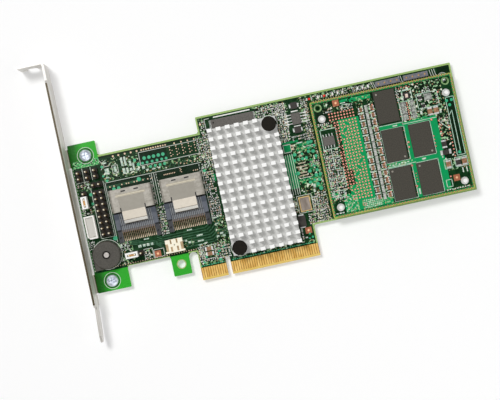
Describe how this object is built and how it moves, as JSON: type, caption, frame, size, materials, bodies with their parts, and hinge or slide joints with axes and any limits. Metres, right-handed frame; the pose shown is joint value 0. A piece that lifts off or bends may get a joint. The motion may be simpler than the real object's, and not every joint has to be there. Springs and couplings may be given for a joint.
{
  "type": "storage controller card",
  "caption": "Server plug-in card with a card-edge tongue, tall folded bracket, pin-fin heat sink, internal drive-cable ports and a plugged-on memory module.",
  "frame": {"origin": "centre of the key notch on the lower edge of the card-edge tongue, in the middle of the board's thickness", "axes": "+X along the card away from the bracket, +Y from the contacts up to the card's top edge, +Z out of the component side"},
  "size_m": [0.1801, 0.1208, 0.0184],
  "materials": {
    "board_green": "glass-fibre board with green solder mask",
    "contact_gold": "hard gold plate",
    "bracket_steel": "nickel-plated steel sheet",
    "screw_steel": "bright zinc-plated steel",
    "sink_aluminium": "plain aluminium, sawn fins",
    "black_nylon": "moulded black nylon",
    "spring_steel": "spring wire",
    "chip_black": "moulded epoxy",
    "solder_tin": "matt tin plate",
    "pad_grey": "soft thermal pad",
    "port_metal": "satin nickel on brass sheet",
    "port_plastic": "moulded blue-black plastic",
    "nylon_white": "natural nylon",
    "mezzanine_black": "moulded black plastic",
    "array_grey": "glazed chip resistors",
    "header_black": "moulded brown-black plastic",
    "shunt_white": "moulded white plastic",
    "socket_white": "moulded white nylon",
    "socket_beige": "moulded ivory plastic",
    "buzzer_black": "moulded dark grey plastic",
    "core_grey": "plain steel",
    "ceramic_gold": "ceramic base with gilt edge",
    "lid_grey": "satin metal lid",
    "coil_dark": "ferrite and dark epoxy",
    "light_red": "clear red epoxy",
    "indicator_grey": "moulded grey plastic",
    "capacitor_brown": "brown ceramic"
  },
  "bodies": {
    "root": {"main_board": "board_green", "edge_contacts_front": "contact_gold", "edge_contacts_back": "contact_gold", "mounting_bracket": "bracket_steel", "bracket_screws": "screw_steel", "controller_chip": "chip_black", "controller_solder": "solder_tin", "thermal_pad": "pad_grey", "heat_sink": "sink_aluminium", "push_pins": "black_nylon", "push_pin_springs": "spring_steel", "flash_memory_chip": "chip_black", "flash_memory_leads": "solder_tin", "port_a_shell": "port_metal", "port_a_housing": "port_plastic", "port_a_contacts": "contact_gold", "port_b_shell": "port_metal", "port_b_housing": "port_plastic", "port_b_contacts": "contact_gold", "module_board": "board_green", "module_standoffs": "nylon_white", "mezzanine_socket": "mezzanine_black", "mezzanine_plug": "mezzanine_black", "memory_chip_1": "chip_black", "memory_chip_2": "chip_black", "memory_chip_3": "chip_black", "memory_chip_4": "chip_black", "memory_chip_5": "chip_black", "resistor_arrays": "array_grey", "block_header_housing": "header_black", "block_header_pins": "contact_gold", "pair_header_housings": "header_black", "pair_header_pins": "contact_gold", "triple_header_housings": "header_black", "triple_header_pins": "contact_gold", "jumper_shunts": "shunt_white", "jumper_contacts": "contact_gold", "battery_socket": "socket_white", "battery_socket_tails": "solder_tin", "side_entry_socket": "socket_beige", "side_entry_pins": "solder_tin", "buzzer_case": "buzzer_black", "buzzer_core": "core_grey", "buzzer_tails": "solder_tin", "oscillator_base": "ceramic_gold", "oscillator_lid": "lid_grey", "eight_lead_chips": "chip_black", "eight_lead_chip_leads": "solder_tin", "power_coil": "coil_dark", "power_diodes": "coil_dark", "power_part_terminals": "solder_tin", "status_lights": "light_red", "indicator_blocks": "indicator_grey", "chip_capacitors": "capacitor_brown", "chip_beads": "coil_dark", "chip_part_ends": "solder_tin"}
  },
  "joints": []
}
